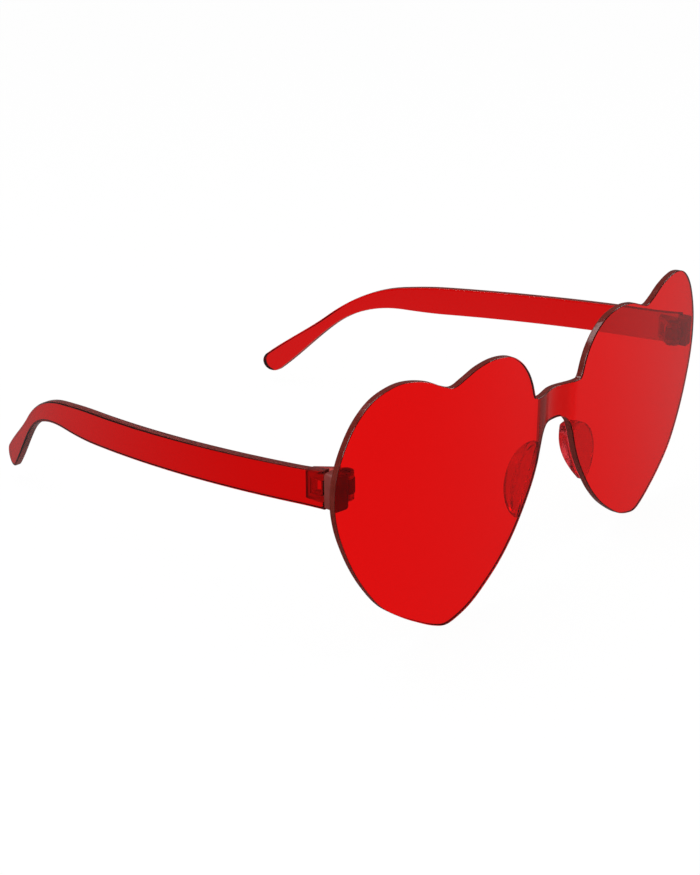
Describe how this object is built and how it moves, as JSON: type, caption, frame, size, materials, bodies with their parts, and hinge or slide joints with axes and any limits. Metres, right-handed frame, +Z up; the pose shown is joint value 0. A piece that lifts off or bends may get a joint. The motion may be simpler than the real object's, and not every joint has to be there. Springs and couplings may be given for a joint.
{
  "type": "heart shaped sunglasses",
  "caption": "Sunglasses with a one-piece clear red front cut as joined hearts, small nose pads on its back and clear red temples that fold on pinned hinges.",
  "frame": {"origin": "on the level of the two heart tips, in the middle of the width, and midway between the front face beside the bridge and the ends of the temples", "axes": "+X towards the wearer's left, +Y back along the temples, away from the wearer's view, +Z up; the front faces -Y"},
  "size_m": [0.1536, 0.1518, 0.064],
  "materials": {
    "clear_red": "polished, see-through",
    "clear_deep_red": "polished, see-through",
    "steel": "plain"
  },
  "bodies": {
    "front": {"front_lens": "clear_red", "nose_pad_left": "clear_red", "nose_pad_right": "clear_red", "end_piece_left": "clear_deep_red", "end_piece_right": "clear_deep_red"},
    "left_arm": {"temple_left": "clear_deep_red", "hinge_screw_left": "steel"},
    "right_arm": {"temple_right": "clear_deep_red", "hinge_screw_right": "steel"}
  },
  "joints": [
    {"name": "left_hinge", "type": "hinge", "parent": "front", "child": "left_arm", "pos_m": [0.0694, -0.06672, 0.043], "axis": [0, 0, 1], "range_deg": [0, 84]},
    {"name": "right_hinge", "type": "hinge", "parent": "front", "child": "right_arm", "pos_m": [-0.0694, -0.06672, 0.043], "axis": [0, 0, -1], "range_deg": [0, 76]}
  ]
}
